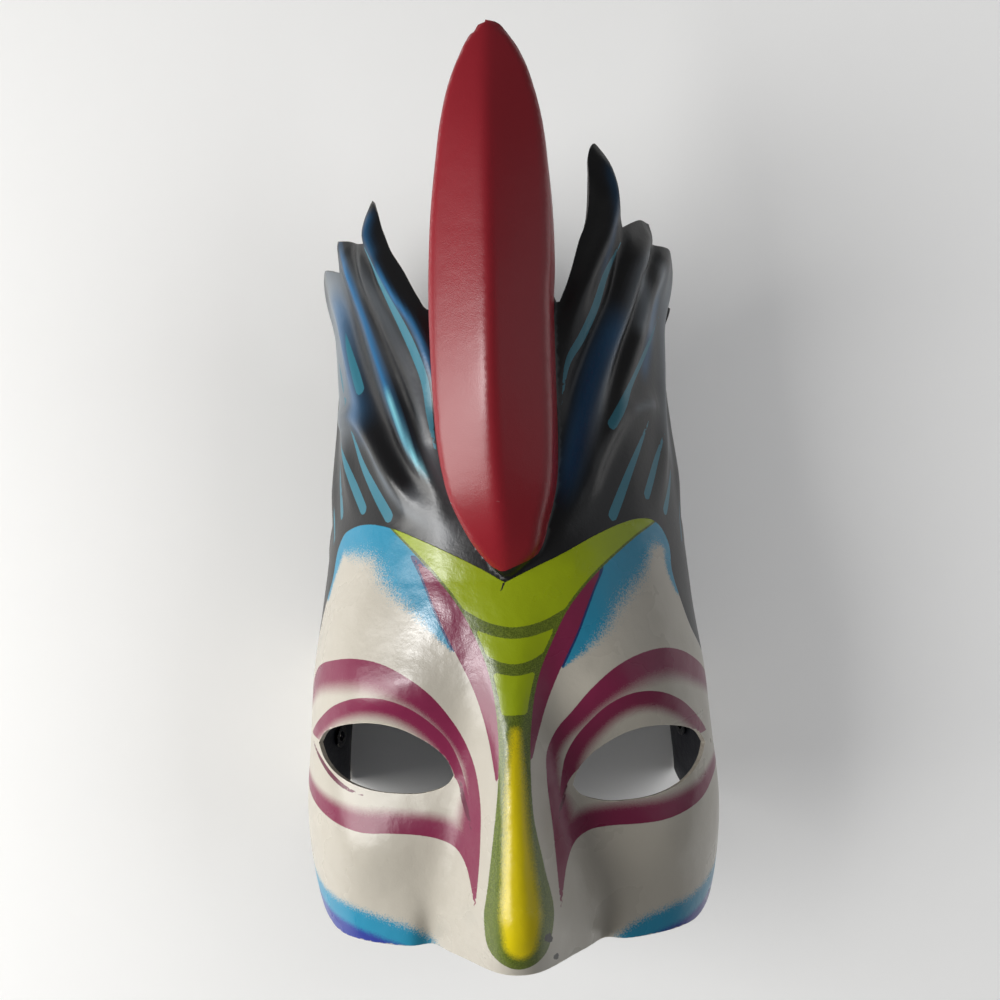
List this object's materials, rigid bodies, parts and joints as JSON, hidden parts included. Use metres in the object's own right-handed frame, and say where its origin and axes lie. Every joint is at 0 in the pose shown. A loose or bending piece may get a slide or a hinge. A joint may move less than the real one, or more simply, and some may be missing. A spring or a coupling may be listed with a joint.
{
  "type": "masquerade mask",
  "caption": "Half-face masquerade mask moulded from one thin sheet, with a long nose, two eye holes, swept-back hair locks and a tall red crest, and a strap eyelet at each temple.",
  "frame": {"origin": "centre of the footprint of the mask as it lies on its back edges, at the plane of those edges", "axes": "+Z out of the face, up as the mask lies; +Y from the nose towards the tip of the crest; +X towards the right as one looks at the face"},
  "size_m": [0.1608, 0.323, 0.1381],
  "materials": {
    "moulded_sheet": "painted, semi-gloss",
    "eyelet_left_metal": "gloss",
    "eyelet_right_metal": "gloss"
  },
  "bodies": {
    "root": {"mask_shell": "moulded_sheet", "eyelet_left": "eyelet_left_metal", "eyelet_right": "eyelet_right_metal"}
  },
  "joints": []
}
